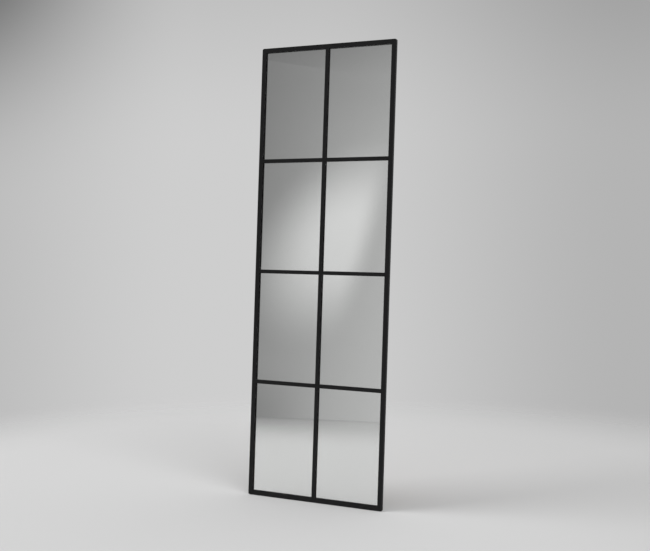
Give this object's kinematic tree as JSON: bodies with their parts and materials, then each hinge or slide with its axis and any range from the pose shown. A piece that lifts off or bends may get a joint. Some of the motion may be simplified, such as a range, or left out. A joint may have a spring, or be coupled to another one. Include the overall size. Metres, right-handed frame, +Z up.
{
  "type": "wall mirror",
  "caption": "Tall rectangular wall mirror with a slim black metal frame, a centre mullion and level glazing bars over a silvered glass sheet, hung by swinging rings.",
  "frame": {"origin": "on the wall plane, midway between the two points where the wall hooks bear when the hanger rings are turned up", "axes": "X to the right as seen from the front, Z up along the stiles, and the mirror faces -Y, so +Y points into the wall"},
  "size_m": [0.6, 0.02, 1.8],
  "materials": {
    "frame_black": "black satin powder coat",
    "plate_black": "black powder coat",
    "foam_tape": "black closed-cell foam",
    "clear_glass": "clear float glass",
    "silver_layer": "silvered",
    "film": "pale safety film",
    "hardboard": "brown hardboard",
    "pad_rubber": "matte rubber",
    "clip_steel": "zinc plated",
    "screw_steel": "zinc plated",
    "rivet_steel": "plain steel",
    "hanger_steel": "nickel plated",
    "bumper_rubber": "matte rubber"
  },
  "bodies": {
    "mirror": {"backing_board": "hardboard", "bar_tape": "foam_tape", "bumper_bottom_left": "bumper_rubber", "bumper_bottom_right": "bumper_rubber", "bumper_top_left": "bumper_rubber", "bumper_top_right": "bumper_rubber", "clip_bottom_1": "clip_steel", "clip_bottom_2": "clip_steel", "clip_left_1": "clip_steel", "clip_left_2": "clip_steel", "clip_left_3": "clip_steel", "clip_left_4": "clip_steel", "clip_right_1": "clip_steel", "clip_right_2": "clip_steel", "clip_right_3": "clip_steel", "clip_right_4": "clip_steel", "clip_screws": "screw_steel", "clip_top_1": "clip_steel", "clip_top_2": "clip_steel", "corner_plate_bottom_left": "plate_black", "corner_plate_bottom_right": "plate_black", "corner_plate_top_left": "plate_black", "corner_plate_top_right": "plate_black", "cross_bar_left_1": "frame_black", "cross_bar_left_2": "frame_black", "cross_bar_left_3": "frame_black", "cross_bar_right_1": "frame_black", "cross_bar_right_2": "frame_black", "cross_bar_right_3": "frame_black", "frame_tape": "foam_tape", "hanger_strap_left": "hanger_steel", "hanger_strap_right": "hanger_steel", "mirror_glass": "clear_glass", "mullion": "frame_black", "plate_rivets": "rivet_steel", "rail_bottom": "frame_black", "rail_top": "frame_black", "safety_film": "film", "setting_pad_left": "pad_rubber", "setting_pad_right": "pad_rubber", "silvering": "silver_layer", "spacer_bottom_left": "pad_rubber", "spacer_bottom_right": "pad_rubber", "spacer_top_left": "pad_rubber", "spacer_top_right": "pad_rubber", "stile_left": "frame_black", "stile_right": "frame_black"},
    "ring_left": {"hanger_ring_left": "hanger_steel"},
    "ring_right": {"hanger_ring_right": "hanger_steel"}
  },
  "joints": [
    {"name": "ring_left_swing", "type": "hinge", "parent": "mirror", "child": "ring_left", "pos_m": [-0.268, -0.0037, -0.014], "axis": [1, 0, 0], "range_deg": [0, 178]},
    {"name": "ring_right_swing", "type": "hinge", "parent": "mirror", "child": "ring_right", "pos_m": [0.268, -0.0037, -0.014], "axis": [1, 0, 0], "range_deg": [0, 178]}
  ]
}
